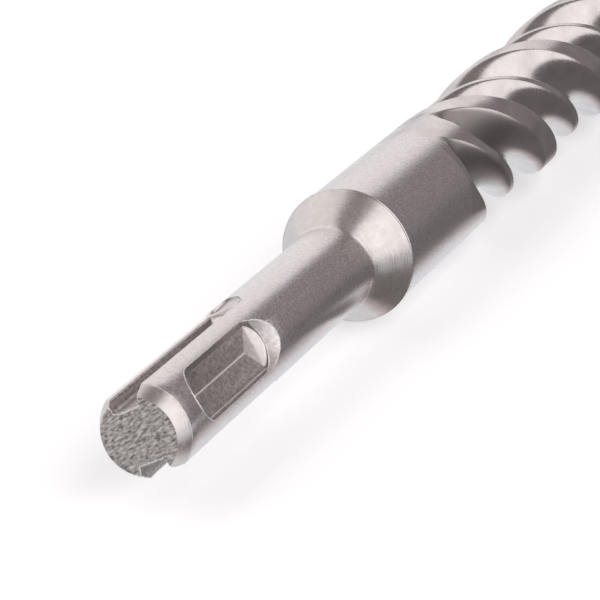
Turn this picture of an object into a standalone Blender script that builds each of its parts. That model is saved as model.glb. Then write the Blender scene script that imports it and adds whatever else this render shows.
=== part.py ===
"""A two-piece masonry drill bit for a rotary hammer.

The bit lies along +X with the centre of its shank end face at the origin.
Angles about the bit are measured from +Y towards +Z, so a right-hand helix
turns by a growing angle as x grows.  All sizes are in metres and degrees.
"""

import math

import bmesh
import bpy

# Shank and its turned end
SHANK_LENGTH = 0.0512
SHANK_DIAMETER = 0.0100
END_FACE_DIAMETER = 0.0083
END_ROUND_LENGTH = 0.0016

# Two open driving slots, cut in from the shank end
SLOT_ANGLE = 60.7
SLOT_FLOOR_RADIUS = 0.00305
SLOT_FLOOR_WIDTH = 0.0030
SLOT_WALL_SLOPE = 0.25
SLOT_STRAIGHT_LENGTH = 0.0205
SLOT_RUNOUT_LENGTH = 0.0062

# Two closed locking grooves, a quarter turn from the slots
GROOVE_ANGLE_FROM_SLOT = 90.0
GROOVE_START = 0.0046
GROOVE_LENGTH = 0.0200
GROOVE_FLOOR_RADIUS = 0.0030
GROOVE_FOOT_RADIUS = 0.0033
GROOVE_SHOULDER_RADIUS = 0.0038
GROOVE_FOOT_WIDTH = 0.0053
GROOVE_WIDTH = 0.0067
GROOVE_ENTRY_RAMP = 0.0030
GROOVE_EXIT_RAMP = 0.0010

# Cone and collar
CONE_LENGTH = 0.0046
CONE_FOOT_FILLET = 0.0006
COLLAR_DIAMETER = 0.0160
COLLAR_BAND_WIDTH = 0.0009
COLLAR_EDGE_BREAK = 0.0002

# Plain neck, up to where the leading flute is at full depth
NECK_LENGTH = 0.0263
NECK_DIAMETER = 0.0156

# Flutes: two wide lands that guide the bit and two narrow ribs between them
FLUTED_LENGTH = 0.1270
LAND_DIAMETER = 0.0162
RIB_DIAMETER = 0.0150
RIB_FADE_LENGTH = 0.0080
FLUTE_CORE_DIAMETER = 0.0082
FLUTE_CUTTER_RADIUS = 0.0040
FLUTE_LEAD = 0.0550
LEADING_FLUTE_ANGLE = 156.2
SECOND_FLUTE_OFFSET = 104.0
SECOND_FLUTE_DELAY = 0.0073
LAND_EDGE_SOFTNESS = 0.00035

# Head and its hard-metal plate
HEAD_POINT_ANGLE = 130.0
HEAD_BEHIND_TIP = 0.0026
TIP_OVERHANG = 0.00025
TIP_THICKNESS = 0.0030
TIP_SEAT_DEPTH = 0.0120
TIP_RELIEF_ANGLE = 22.0
BRAZE_GAP = 0.0003

# Mesh fineness
FLUTE_LINE_SHARES = (-1.0, -0.88, -0.65, -0.33, 0.0, 0.33, 0.65, 0.88, 1.0)
LAND_LINES = 4
RIB_LINES = 2
LEAST_FLUTE_HALF_ANGLE = 8.0
LEAST_RIB_ANGLE = 6.0
SCOOP_RINGS = 6
NECK_RINGS = 6
FLUTE_TURN_STEP = 10.0
LEAST_RING_GAP = 0.0002
HEAD_RING_SHARES = (0.66, 0.33)
END_ROUND_SHARES = (0.3, 0.65, 1.0)
SLOT_RUNOUT_STEPS = 6
CUTTER_ARC_POINTS = 9
CUTTER_OVERSHOOT = 0.0010
SHARP_EDGE_ANGLE = 32.0

# Places along the bit that follow from the lengths
COLLAR_START = SHANK_LENGTH + CONE_LENGTH
COLLAR_END = COLLAR_START + COLLAR_BAND_WIDTH
FLUTE_START = COLLAR_END + NECK_LENGTH
SECOND_FLUTE_START = FLUTE_START + SECOND_FLUTE_DELAY
OVERALL_LENGTH = FLUTE_START + FLUTED_LENGTH
HEAD_SLOPE = math.tan(math.radians(90.0 - HEAD_POINT_ANGLE / 2.0))


def clear_scene():
    """Start from an empty scene."""
    for item in list(bpy.data.objects):
        bpy.data.objects.remove(item, do_unlink=True)


def make_material(name, colour, roughness, metallic):
    """Return a Principled material."""
    material = bpy.data.materials.new(name)
    material.use_nodes = True
    shader = material.node_tree.nodes["Principled BSDF"]
    shader.inputs["Base Color"].default_value = (*colour, 1.0)
    shader.inputs["Roughness"].default_value = roughness
    shader.inputs["Metallic"].default_value = metallic
    return material


def add_object(name, mesh_builder, material=None):
    """Put a finished bmesh into the scene as one named object."""
    mesh = bpy.data.meshes.new(name)
    bmesh.ops.recalc_face_normals(mesh_builder, faces=mesh_builder.faces)
    mesh_builder.to_mesh(mesh)
    mesh_builder.free()
    item = bpy.data.objects.new(name, mesh)
    bpy.context.scene.collection.objects.link(item)
    if material:
        mesh.materials.append(material)
    return item


def add_cutter(name, mesh_builder):
    """Add a guide object that only cuts and is never part of the bit."""
    cutter = add_object(name, mesh_builder)
    cutter.hide_render = True
    cutter.display_type = "WIRE"
    return cutter


def cut(target, cutter):
    """Subtract the cutter from the target."""
    modifier = target.modifiers.new(cutter.name, "BOOLEAN")
    modifier.operation = "DIFFERENCE"
    modifier.solver = "EXACT"
    modifier.object = cutter


def polar(x, radius, angle):
    """Point at a radius and an angle about the bit's axis."""
    turn = math.radians(angle)
    return (x, radius * math.cos(turn), radius * math.sin(turn))


def tilted(x, across, height, angle):
    """Point at a height along a radial direction, moved sideways across it."""
    turn = math.radians(angle)
    return (
        x,
        height * math.cos(turn) - across * math.sin(turn),
        height * math.sin(turn) + across * math.cos(turn),
    )


def smooth_step(value):
    """Ease from 0 to 1."""
    share = min(1.0, max(0.0, value))
    return share * share * (3.0 - 2.0 * share)


def soft_minimum(first, second):
    """The smaller of two radii, with the corner between them rounded."""
    blend = max(0.0, 1.0 - abs(first - second) / LAND_EDGE_SOFTNESS)
    return min(first, second) - blend * blend * LAND_EDGE_SOFTNESS / 4.0


def wrapped(angle, period):
    """Angle moved into the period centred on zero."""
    return (angle + period / 2.0) % period - period / 2.0


def helix_turn(x):
    """Angle by which the flutes have turned at x."""
    return 360.0 * x / FLUTE_LEAD


def flute_centres(x):
    """Angles of the two flutes; each one runs straight in where it starts."""
    leading = LEADING_FLUTE_ANGLE + helix_turn(max(x, FLUTE_START))
    second = LEADING_FLUTE_ANGLE + SECOND_FLUTE_OFFSET + helix_turn(max(x, SECOND_FLUTE_START))
    return leading, second


def flute_radius(outer, away, behind):
    """Radius left by one flute's ball-ended cutter.

    away is the angle from the flute's centre line and behind is how far the
    section lies before the place where the cutter has reached full depth.
    """
    cutter_centre = FLUTE_CORE_DIAMETER / 2.0 + FLUTE_CUTTER_RADIUS
    sideways = cutter_centre * math.sin(math.radians(away))
    reach = FLUTE_CUTTER_RADIUS**2 - behind**2 - sideways**2
    if reach <= 0.0 or abs(away) >= 90.0:
        return outer
    inner = cutter_centre * math.cos(math.radians(away)) - math.sqrt(reach)
    return soft_minimum(outer, inner)


def flute_half_angle(behind):
    """Half the angle that one flute takes out of a land."""
    land = LAND_DIAMETER / 2.0
    cutter_centre = FLUTE_CORE_DIAMETER / 2.0 + FLUTE_CUTTER_RADIUS
    reach = FLUTE_CUTTER_RADIUS**2 - max(0.0, behind) ** 2
    cosine = (land**2 + cutter_centre**2 - reach) / (2.0 * land * cutter_centre)
    angle = math.degrees(math.acos(min(1.0, cosine)))
    return max(LEAST_FLUTE_HALF_ANGLE, angle)


def outer_radius(x, angle):
    """Radius of the uncut bar in the fluted length."""
    rib_half_width = (180.0 - SECOND_FLUTE_OFFSET) / 2.0
    rib_centre = LEADING_FLUTE_ANGLE + helix_turn(x) - rib_half_width
    away = abs(wrapped(angle - rib_centre, 180.0))
    target = RIB_DIAMETER / 2.0 if away < rib_half_width else LAND_DIAMETER / 2.0
    fade_start = SECOND_FLUTE_START - FLUTE_CUTTER_RADIUS / 2.0
    grown = smooth_step((x - fade_start) / RIB_FADE_LENGTH)
    return NECK_DIAMETER / 2.0 + (target - NECK_DIAMETER / 2.0) * grown


def body_radius(x, angle):
    """Radius of the fluted bar at a place along it and an angle about it."""
    outer = outer_radius(x, angle)
    radius = outer
    for centre, start in zip(flute_centres(x), (FLUTE_START, SECOND_FLUTE_START)):
        away = wrapped(angle - centre, 180.0)
        radius = min(radius, flute_radius(outer, away, max(0.0, start - x)))
    return radius


def spread(start, end, count):
    """Angles spaced evenly between two others, without either of them."""
    return [start + (end - start) * (index + 1) / (count + 1) for index in range(count)]


def ring_angles(x):
    """Angles of the mesh lines at x, gathered where the flutes are cut."""
    leading, second = flute_centres(x)
    leading_half = flute_half_angle(FLUTE_START - x)
    second_half = flute_half_angle(SECOND_FLUTE_START - x)
    second = min(second, leading + 180.0 - leading_half - second_half - LEAST_RIB_ANGLE)
    angles = [leading + leading_half * share for share in FLUTE_LINE_SHARES]
    angles += spread(leading + leading_half, second - second_half, LAND_LINES)
    angles += [second + second_half * share for share in FLUTE_LINE_SHARES]
    angles += spread(second + second_half, leading + 180.0 - leading_half, RIB_LINES)
    return angles + [angle + 180.0 for angle in angles]


def turned_profile():
    """Outline of the turned shank, cone and collar as (x, radius)."""
    shank = SHANK_DIAMETER / 2.0
    face = END_FACE_DIAMETER / 2.0
    collar = COLLAR_DIAMETER / 2.0
    points = [(0.0, face)]
    for share in END_ROUND_SHARES:
        rise = math.sin(share * math.pi / 2.0)
        points.append((END_ROUND_LENGTH * share, face + (shank - face) * rise))
    slope = (collar - COLLAR_EDGE_BREAK - shank) / CONE_LENGTH
    points.append((SHANK_LENGTH - CONE_FOOT_FILLET, shank))
    points.append((SHANK_LENGTH + CONE_FOOT_FILLET, shank + slope * CONE_FOOT_FILLET))
    points.append((COLLAR_START, collar - COLLAR_EDGE_BREAK))
    points.append((COLLAR_START + COLLAR_EDGE_BREAK, collar))
    points.append((COLLAR_END - COLLAR_EDGE_BREAK, collar))
    return points


def fluted_sections():
    """Places of the mesh rings along the flutes, closer where a flute starts."""
    shoulder = OVERALL_LENGTH - HEAD_BEHIND_TIP - LAND_DIAMETER / 2.0 * HEAD_SLOPE
    step = FLUTE_LEAD * FLUTE_TURN_STEP / 360.0
    count = math.ceil((shoulder - FLUTE_START) / step)
    places = [FLUTE_START + (shoulder - FLUTE_START) * index / count for index in range(count + 1)]
    for start in (FLUTE_START, SECOND_FLUTE_START):
        for index in range(SCOOP_RINGS):
            behind = FLUTE_CUTTER_RADIUS * math.cos(math.pi / 2.0 * index / SCOOP_RINGS)
            places.append(start - behind)
    kept = []
    for place in sorted(places):
        if not kept or place - kept[-1] > LEAST_RING_GAP:
            kept.append(place)
    return kept


def bar_rings():
    """Corner points of every mesh ring of the bar, from the end face on."""
    sections = fluted_sections()
    gathered = ring_angles(sections[0])
    count = len(gathered)
    even = [gathered[0] + 360.0 * index / count for index in range(count)]
    rings = [[polar(x, radius, angle) for angle in even] for x, radius in turned_profile()]
    for index in range(NECK_RINGS):
        share = index / NECK_RINGS
        x = COLLAR_END + (sections[0] - COLLAR_END) * share
        angles = [a + (b - a) * share for a, b in zip(even, gathered)]
        rings.append([polar(x, NECK_DIAMETER / 2.0, angle) for angle in angles])
    for x in sections:
        rings.append([polar(x, body_radius(x, angle), angle) for angle in ring_angles(x)])
    head_top = OVERALL_LENGTH - HEAD_BEHIND_TIP
    for share in HEAD_RING_SHARES:
        x = head_top - LAND_DIAMETER / 2.0 * HEAD_SLOPE * share
        rings.append([polar(x, share * body_radius(x, a), a) for a in ring_angles(x)])
    return rings


def build_bar():
    """Loft the whole steel bar, from the end face to the head's point."""
    builder = bmesh.new()
    rings = [[builder.verts.new(point) for point in ring] for ring in bar_rings()]
    count = len(rings[0])
    for ring, following in zip(rings, rings[1:]):
        for index in range(count):
            beside = (index + 1) % count
            builder.faces.new((ring[index], ring[beside], following[beside], following[index]))
    builder.faces.new(rings[0])
    point = builder.verts.new((OVERALL_LENGTH - HEAD_BEHIND_TIP, 0.0, 0.0))
    last = rings[-1]
    for index in range(count):
        builder.faces.new((last[index], last[(index + 1) % count], point))
    return builder


def build_slot_cutter(angle):
    """Cutter for one open slot, with the round run-out of its milling disc."""
    depth = SHANK_DIAMETER / 2.0 - SLOT_FLOOR_RADIUS
    disc_radius = (SLOT_RUNOUT_LENGTH**2 + depth**2) / (2.0 * depth)
    exit_rise = depth + CUTTER_OVERSHOOT / 2.0
    exit_length = math.sqrt(disc_radius**2 - (disc_radius - exit_rise) ** 2)
    stations = [(-CUTTER_OVERSHOOT, SLOT_FLOOR_RADIUS)]
    for index in range(SLOT_RUNOUT_STEPS + 1):
        along = exit_length * index / SLOT_RUNOUT_STEPS
        rise = disc_radius - math.sqrt(disc_radius**2 - along**2)
        stations.append((SLOT_STRAIGHT_LENGTH + along, SLOT_FLOOR_RADIUS + rise))
    top = SHANK_DIAMETER / 2.0 + CUTTER_OVERSHOOT
    top_half = SLOT_FLOOR_WIDTH / 2.0 + SLOT_WALL_SLOPE * (top - SLOT_FLOOR_RADIUS)
    builder = bmesh.new()
    loops = []
    for x, floor in stations:
        floor_half = SLOT_FLOOR_WIDTH / 2.0 + SLOT_WALL_SLOPE * (floor - SLOT_FLOOR_RADIUS)
        corners = ((-floor_half, floor), (floor_half, floor), (top_half, top), (-top_half, top))
        loops.append([builder.verts.new(tilted(x, w, h, angle)) for w, h in corners])
    for loop, following in zip(loops, loops[1:]):
        for index in range(len(loop)):
            beside = (index + 1) % len(loop)
            builder.faces.new((loop[index], loop[beside], following[beside], following[index]))
    builder.faces.new(loops[0])
    builder.faces.new(loops[-1])
    return builder


def groove_outline(start, end, width):
    """Long outline with round ends, as (x, across) points."""
    half = width / 2.0
    points = []
    for index in range(CUTTER_ARC_POINTS):
        turn = math.pi * (0.5 + index / (CUTTER_ARC_POINTS - 1))
        points.append((start + half + half * math.cos(turn), half * math.sin(turn)))
    for index in range(CUTTER_ARC_POINTS):
        turn = math.pi * (-0.5 + index / (CUTTER_ARC_POINTS - 1))
        points.append((end - half + half * math.cos(turn), half * math.sin(turn)))
    return points


def build_groove_cutter(angle):
    """Cutter for one closed groove: a blunt-keeled plug with drafted ends."""
    shank = SHANK_DIAMETER / 2.0
    end = GROOVE_START + GROOVE_LENGTH
    shoulder_start = GROOVE_START + GROOVE_ENTRY_RAMP / 2.0
    foot_start = GROOVE_START + GROOVE_ENTRY_RAMP
    foot_end = end - GROOVE_EXIT_RAMP
    levels = (
        (shank + CUTTER_OVERSHOOT, GROOVE_START, end, GROOVE_WIDTH),
        (shank, GROOVE_START, end, GROOVE_WIDTH),
        (GROOVE_SHOULDER_RADIUS, shoulder_start, end, GROOVE_WIDTH),
        (GROOVE_FOOT_RADIUS, foot_start, foot_end, GROOVE_FOOT_WIDTH),
    )
    builder = bmesh.new()
    for height, level_start, level_end, width in levels:
        for x, across in groove_outline(level_start, level_end, width):
            builder.verts.new(tilted(x, across, height, angle))
    for x in (foot_start, foot_end - GROOVE_FOOT_WIDTH / 2.0):
        builder.verts.new(tilted(x, 0.0, GROOVE_FLOOR_RADIUS, angle))
    hull = bmesh.ops.convex_hull(builder, input=builder.verts)
    spare = set(hull["geom_interior"]) | set(hull["geom_unused"])
    spare_corners = [item for item in spare if isinstance(item, bmesh.types.BMVert)]
    bmesh.ops.delete(builder, geom=spare_corners, context="VERTS")
    return builder


def tip_angle():
    """Angle about the axis of the plate, which lies in the two wide lands."""
    leading, second = flute_centres(OVERALL_LENGTH - TIP_SEAT_DEPTH)
    return (leading + second) / 2.0


def build_tip():
    """Plate with a gabled top that falls away behind its two cutting edges."""
    half_width = LAND_DIAMETER / 2.0 + TIP_OVERHANG
    relief = TIP_THICKNESS * math.tan(math.radians(TIP_RELIEF_ANGLE))
    turn = tip_angle()
    builder = bmesh.new()
    for side in (-1.0, 0.0, 1.0):
        across = side * half_width
        for thick in (-TIP_THICKNESS / 2.0, TIP_THICKNESS / 2.0):
            top = OVERALL_LENGTH - half_width * abs(side) * HEAD_SLOPE
            if side * thick < 0.0:
                top -= relief
            builder.verts.new(tilted(OVERALL_LENGTH - TIP_SEAT_DEPTH, thick, across, turn))
            builder.verts.new(tilted(top, thick, across, turn))
    bmesh.ops.convex_hull(builder, input=builder.verts)
    return builder


def build_seat_cutter():
    """Straight slot through the head that the plate is set into."""
    half_thick = TIP_THICKNESS / 2.0 + BRAZE_GAP
    half_width = LAND_DIAMETER / 2.0 + CUTTER_OVERSHOOT
    bottom = OVERALL_LENGTH - TIP_SEAT_DEPTH - BRAZE_GAP
    turn = tip_angle()
    builder = bmesh.new()
    for x in (bottom, OVERALL_LENGTH + CUTTER_OVERSHOOT):
        for across in (-half_width, half_width):
            for thick in (-half_thick, half_thick):
                builder.verts.new(tilted(x, thick, across, turn))
    bmesh.ops.convex_hull(builder, input=builder.verts)
    return builder


def shade(item):
    """Smooth the round faces and keep the real edges sharp."""
    item.data.shade_smooth()
    item.data.set_sharp_from_angle(angle=math.radians(SHARP_EDGE_ANGLE))


def build():
    """Make the two pieces of the bit."""
    clear_scene()
    steel = make_material("satin_steel", (0.42, 0.40, 0.39), 0.36, 1.0)
    carbide = make_material("ground_hard_metal", (0.30, 0.30, 0.31), 0.30, 1.0)

    body = add_object("drill_body", build_bar(), steel)
    shade(body)
    for number in (1, 2):
        slot_angle = SLOT_ANGLE + 180.0 * number
        groove_angle = slot_angle + GROOVE_ANGLE_FROM_SLOT
        cut(body, add_cutter(f"slot_cutter_{number}", build_slot_cutter(slot_angle)))
        cut(body, add_cutter(f"groove_cutter_{number}", build_groove_cutter(groove_angle)))
    cut(body, add_cutter("seat_cutter", build_seat_cutter()))

    tip = add_object("carbide_tip", build_tip(), carbide)
    shade(tip)


build()
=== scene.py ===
"""Looks of a masonry drill bit: one steel bar with a slotted shank, and a brazed hard-metal plate.

The bit lies along +X from the centre of its shank end face.  Angles about the bit are in
degrees, from +Y towards +Z.  Lengths are in metres, written as millimetres times MM.
"""

import math

import bmesh
import bpy
from mathutils import Matrix, Vector, noise


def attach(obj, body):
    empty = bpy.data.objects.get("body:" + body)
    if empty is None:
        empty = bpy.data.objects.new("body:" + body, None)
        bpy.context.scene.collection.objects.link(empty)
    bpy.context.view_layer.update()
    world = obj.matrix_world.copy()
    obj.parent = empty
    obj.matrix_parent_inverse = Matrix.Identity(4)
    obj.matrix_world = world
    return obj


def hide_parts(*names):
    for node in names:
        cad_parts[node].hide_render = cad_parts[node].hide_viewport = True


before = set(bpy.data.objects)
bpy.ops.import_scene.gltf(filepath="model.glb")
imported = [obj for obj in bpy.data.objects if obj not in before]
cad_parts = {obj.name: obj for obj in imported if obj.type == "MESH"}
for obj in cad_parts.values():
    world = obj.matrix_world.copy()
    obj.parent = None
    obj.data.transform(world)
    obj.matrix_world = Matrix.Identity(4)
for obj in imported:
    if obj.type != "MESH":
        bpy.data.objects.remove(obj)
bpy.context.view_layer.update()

# Bar: turned shank, cone and collar, then the neck, the flutes and the head
# One bar of alloy steel.  The shank, the cone and the collar are turned on a lathe, the end
# face is left as the saw cut it, and the flutes are milled along a right-hand helix.
MM = 0.001
SHANK_RADIUS = 5.0 * MM
SHANK_LENGTH = 51.2 * MM
SHANK_RING_GAP = 3.0 * MM
END_FACE_RADIUS = 4.15 * MM
END_CHAMFER_LENGTH = 1.6 * MM
END_CHAMFER_BULGE = 0.25
END_CHAMFER_RINGS = 5
END_CHAMFER_RIM = 0.14 * MM
END_CHAMFER_DROP = 0.03 * MM
CONE_LENGTH = 4.6 * MM
CONE_FOOT_FILLET = 0.9 * MM
CONE_FOOT_RINGS = 6
COLLAR_START = SHANK_LENGTH + CONE_LENGTH
COLLAR_RADIUS = 8.0 * MM
COLLAR_BAND = 0.9 * MM
COLLAR_END = COLLAR_START + COLLAR_BAND
COLLAR_EDGE = 0.15 * MM
# Each edge of the collar is rounded by one more corner, given as shares of the edge.
COLLAR_EDGE_ALONG = 0.4
COLLAR_EDGE_DOWN = 0.3
NECK_RADIUS = 7.8 * MM
FLUTED_START = 77.0 * MM
FLUTED_RING_GAP = 0.6 * MM
BAR_LENGTH = 207.4 * MM
MERGE_GAP = 0.001 * MM

# Ridges that the saw leaves on the end face, with finer ones between them.
SAWN_RING_GAP = 0.12 * MM
SAWN_DEPTH = 0.07 * MM
SAWN_LEVEL = 0.5
SAWN_ANGLE = math.radians(144)
SAWN_RIDGE_LENGTH = 0.75 * MM
SAWN_RIDGE_WIDTH = 0.26 * MM
SAWN_FINE_SHARE = 0.5
SAWN_FINE_RATE = 2.3

# Two leading and two second flutes, half a turn apart, parted by wide lands and lower ribs.
# Each is a pair of angles, counted from FLUTE_ZERO_ANGLE at the end face and turned with the helix.
FLUTE_LEAD = 55.0 * MM
FLUTE_ZERO_ANGLE = 135.15
LEADING_FLUTE = (-11.0, 57.0)
SECOND_FLUTE = (88.0, 161.0)
FLUTE_FULLNESS = 1.6
LAND_RADIUS = 8.1 * MM
RIB_RADIUS = 7.4 * MM
RIB_FADE_START = 88.0 * MM
RIB_FADE_LENGTH = 8.0 * MM
CORE_RADIUS = 4.3 * MM
HEAD_SLOPE = math.tan(math.radians(25))
HEAD_START = BAR_LENGTH - LAND_RADIUS * HEAD_SLOPE
HEAD_RING_SHARES = (0.66, 0.33, 0.0)

# Mesh columns of a leading flute, a land, a second flute and a rib, which go round half the bar.
BAND_COLUMNS = (30, 14, 32, 12)
BAR_COLUMNS = 2 * sum(BAND_COLUMNS)

# Round start of each flute: (place across it from -1 to 1, start along the bit).  It is full
# deep after NOSE_RUN, and it draws the mesh rings within its reach along with it.
NOSE_FRONT = 0.5
LEADING_NOSE = ((-1.0, 80.4 * MM), (0.0, 78.9 * MM), (NOSE_FRONT, 78.7 * MM), (1.0, 79.2 * MM))
SECOND_NOSE = ((-1.0, 87.7 * MM), (0.0, 86.2 * MM), (NOSE_FRONT, 86.0 * MM), (1.0, 86.5 * MM))
NOSE_RUN = 3.6 * MM
NOSE_REACH = 6.0 * MM
NOSE_SIDE_REACH = 15.0
FLUTES = ((LEADING_FLUTE, LEADING_NOSE), (SECOND_FLUTE, SECOND_NOSE))

# The cutter's run-out is dull, and painted darker as painted shade in the scoop, over this
# length, then fades, and has a soft edge at both sides.
SHADED_DULL_LENGTH = 7.0 * MM
SHADED_DULL_FADE = 7.0 * MM
SHADED_DULL_EDGE = 0.15


def turned_outline():
    """Outline of the bar as (place along it, radius), from the end face to the head's point."""
    points = [(0.0, 0.0)]
    rings = round(END_FACE_RADIUS / SAWN_RING_GAP)
    points += [(0.0, END_FACE_RADIUS * ring / rings) for ring in range(1, rings + 1)]
    for ring in range(1, END_CHAMFER_RINGS + 1):
        share = ring / END_CHAMFER_RINGS
        rise = (SHANK_RADIUS - END_FACE_RADIUS) * share * (1.0 + END_CHAMFER_BULGE * (1.0 - share))
        points.append((END_CHAMFER_LENGTH * share, END_FACE_RADIUS + rise - END_CHAMFER_DROP * share))
    points.append((END_CHAMFER_LENGTH + END_CHAMFER_RIM, SHANK_RADIUS))
    rings = round(SHANK_LENGTH / SHANK_RING_GAP)
    points += [(SHANK_LENGTH * ring / rings, SHANK_RADIUS) for ring in range(1, rings)]
    slope = (COLLAR_RADIUS - COLLAR_EDGE - SHANK_RADIUS) / CONE_LENGTH
    for ring in range(CONE_FOOT_RINGS + 1):
        share = ring / CONE_FOOT_RINGS
        rise = slope * CONE_FOOT_FILLET * share * share
        points.append((SHANK_LENGTH + CONE_FOOT_FILLET * (2.0 * share - 1.0), SHANK_RADIUS + rise))
    points += [
        (COLLAR_START, COLLAR_RADIUS - COLLAR_EDGE),
        (COLLAR_START + COLLAR_EDGE * COLLAR_EDGE_ALONG, COLLAR_RADIUS - COLLAR_EDGE * COLLAR_EDGE_DOWN),
        (COLLAR_START + COLLAR_EDGE, COLLAR_RADIUS),
        (COLLAR_END - COLLAR_EDGE, COLLAR_RADIUS),
        (COLLAR_END - COLLAR_EDGE * COLLAR_EDGE_DOWN, COLLAR_RADIUS - COLLAR_EDGE * COLLAR_EDGE_ALONG),
        (COLLAR_END, NECK_RADIUS),
    ]
    fluted_length = HEAD_START - COLLAR_END
    rings = round(fluted_length / FLUTED_RING_GAP)
    points += [(COLLAR_END + fluted_length * ring / rings, NECK_RADIUS) for ring in range(1, rings + 1)]
    for share in HEAD_RING_SHARES:
        points.append((BAR_LENGTH - LAND_RADIUS * HEAD_SLOPE * share, NECK_RADIUS * share))
    return points


def spun(outline, columns):
    """Spin an outline about the bit's axis into a closed blank."""
    blank = bmesh.new()
    corners = [blank.verts.new((x, radius, 0.0)) for x, radius in outline]
    lines = [blank.edges.new(pair) for pair in zip(corners, corners[1:])]
    bmesh.ops.spin(
        blank,
        geom=corners + lines,
        axis=(1.0, 0.0, 0.0),
        angle=math.tau,
        steps=columns,
        use_merge=True,
    )
    bmesh.ops.remove_doubles(blank, verts=blank.verts, dist=MERGE_GAP)
    bmesh.ops.recalc_face_normals(blank, faces=blank.faces)
    return blank


def saw_end_face(blank):
    """Roughen the end face with short ridges that all run the same way."""
    for corner in blank.verts:
        from_axis = math.hypot(corner.co.y, corner.co.z)
        if corner.co.x < MERGE_GAP and from_axis < END_FACE_RADIUS - SAWN_RING_GAP:
            along = corner.co.y * math.cos(SAWN_ANGLE) + corner.co.z * math.sin(SAWN_ANGLE)
            across = corner.co.z * math.cos(SAWN_ANGLE) - corner.co.y * math.sin(SAWN_ANGLE)
            spot = Vector((along / SAWN_RIDGE_LENGTH, across / SAWN_RIDGE_WIDTH, 0.0))
            height = SAWN_LEVEL + noise.noise(spot)
            height += SAWN_FINE_SHARE * noise.noise(spot * SAWN_FINE_RATE)
            corner.co.x = SAWN_DEPTH * height


def eased(value):
    """Ease from 0 to 1."""
    share = min(1.0, max(0.0, value))
    return share * share * (3.0 - 2.0 * share)


def between(points, place):
    """Height at a place on a smooth line through (place, height) points."""
    for (start, low), (end, high) in zip(points, points[1:]):
        if place <= end:
            return low + (high - low) * eased((place - start) / (end - start))
    return points[-1][1]


def across_flute(flute, angle):
    """Place of an angle across a flute, from -1 at its first edge to 1 at its second."""
    start, end = flute
    return (angle - (start + end) / 2.0) / ((end - start) / 2.0)


def column_angles():
    """Angles of the mesh columns round half the bar, gathered at the edges of the flutes."""
    edges = (*LEADING_FLUTE, *SECOND_FLUTE, LEADING_FLUTE[0] + 180.0)
    angles = []
    for start, end, count in zip(edges, edges[1:], BAND_COLUMNS):
        for column in range(count):
            share = (1.0 - math.cos(math.pi * column / count)) / 2.0
            angles.append(start + (end - start) * share)
    return angles


def uncut_radius(x, angle):
    """Radius of the bar before the flutes are cut: wide lands stand out and narrow ribs lie low."""
    on_land = sum(LEADING_FLUTE) / 2.0 <= angle < sum(SECOND_FLUTE) / 2.0
    target = LAND_RADIUS if on_land else RIB_RADIUS
    return NECK_RADIUS + (target - NECK_RADIUS) * eased((x - RIB_FADE_START) / RIB_FADE_LENGTH)


def fluted_radius(x, angle):
    """Radius of the bar at x and at an angle that turns with the flutes, after cutting."""
    radius = uncut_radius(x, angle)
    for flute, nose in FLUTES:
        across = across_flute(flute, angle)
        if abs(across) < 1.0 and x > between(nose, across):
            run = (x - between(nose, across)) / NOSE_RUN
            hollow = math.cos(across * math.pi / 2.0) ** FLUTE_FULLNESS
            depth = math.sqrt(1.0 - (1.0 - min(1.0, run)) ** 2)
            radius -= (radius - CORE_RADIUS) * hollow * depth
    return radius


def run_out_shade_and_dullness(x, angle):
    """How dull the milled run-out at the start of each flute is, and how dark its painted shade, from 0 to
    1.
    """
    for flute, nose in FLUTES:
        across = across_flute(flute, angle)
        if abs(across) < 1.0 and x > between(nose, across):
            faded = eased((x - between(nose, across) - SHADED_DULL_LENGTH) / SHADED_DULL_FADE)
            return (1.0 - faded) * eased((1.0 - abs(across)) / SHADED_DULL_EDGE)
    return 0.0


def nose_shift(x, angle):
    """How far a mesh ring is drawn along the bar so that it follows the round start of a flute."""
    for flute, nose in FLUTES:
        across = min(1.0, max(-1.0, across_flute(flute, angle)))
        front = between(nose, NOSE_FRONT)
        near = eased(1.0 - abs(x - front) / NOSE_REACH)
        past_edge = max(0.0, flute[0] - angle, angle - flute[1])
        beside = eased(1.0 - past_edge / NOSE_SIDE_REACH)
        if near > 0.0 and beside > 0.0:
            return (between(nose, across) - front) * near * beside
    return 0.0


def cut_flutes(blank):
    """Turn the columns along the helix and press them in to the flutes' surface."""
    half_columns = column_angles()
    columns = half_columns + [angle + 180.0 for angle in half_columns]
    run_out_shade_and_dull_share = blank.verts.layers.float.new("run_out_shade_and_dull_share")
    for corner in blank.verts:
        x, y, z = corner.co
        radius = math.hypot(y, z)
        if x < COLLAR_END - MERGE_GAP or radius < MERGE_GAP:
            continue
        even = math.degrees(math.atan2(z, y)) % 360.0
        column = round(even / 360.0 * BAR_COLUMNS) % BAR_COLUMNS
        local = columns[column] % 180.0
        if local >= LEADING_FLUTE[0] + 180.0:
            local -= 180.0
        place = x + nose_shift(x, local)
        # Even columns at the collar gather at the edges of the flutes by FLUTED_START.
        even_turn = 360.0 * column / BAR_COLUMNS + 360.0 * x / FLUTE_LEAD
        fluted_turn = columns[column] + 360.0 * place / FLUTE_LEAD
        share = eased((x - COLLAR_END) / (FLUTED_START - COLLAR_END))
        turn = math.radians(FLUTE_ZERO_ANGLE + even_turn + (fluted_turn - even_turn) * share)
        head_share = radius / NECK_RADIUS if x > HEAD_START + MERGE_GAP else 1.0
        new_radius = fluted_radius(place, local) * head_share
        # Share of the run-out's painted shade and dullness.
        corner[run_out_shade_and_dull_share] = run_out_shade_and_dullness(place, local)
        corner.co = (place, new_radius * math.cos(turn), new_radius * math.sin(turn))


def new_piece(builder, name, *materials):
    """Put a finished bmesh into the scene as one object at the origin."""
    mesh = bpy.data.meshes.new(name)
    builder.to_mesh(mesh)
    builder.free()
    piece = bpy.data.objects.new(name, mesh)
    bpy.context.scene.collection.objects.link(piece)
    for material in materials:
        mesh.materials.append(material)
    return piece


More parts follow.
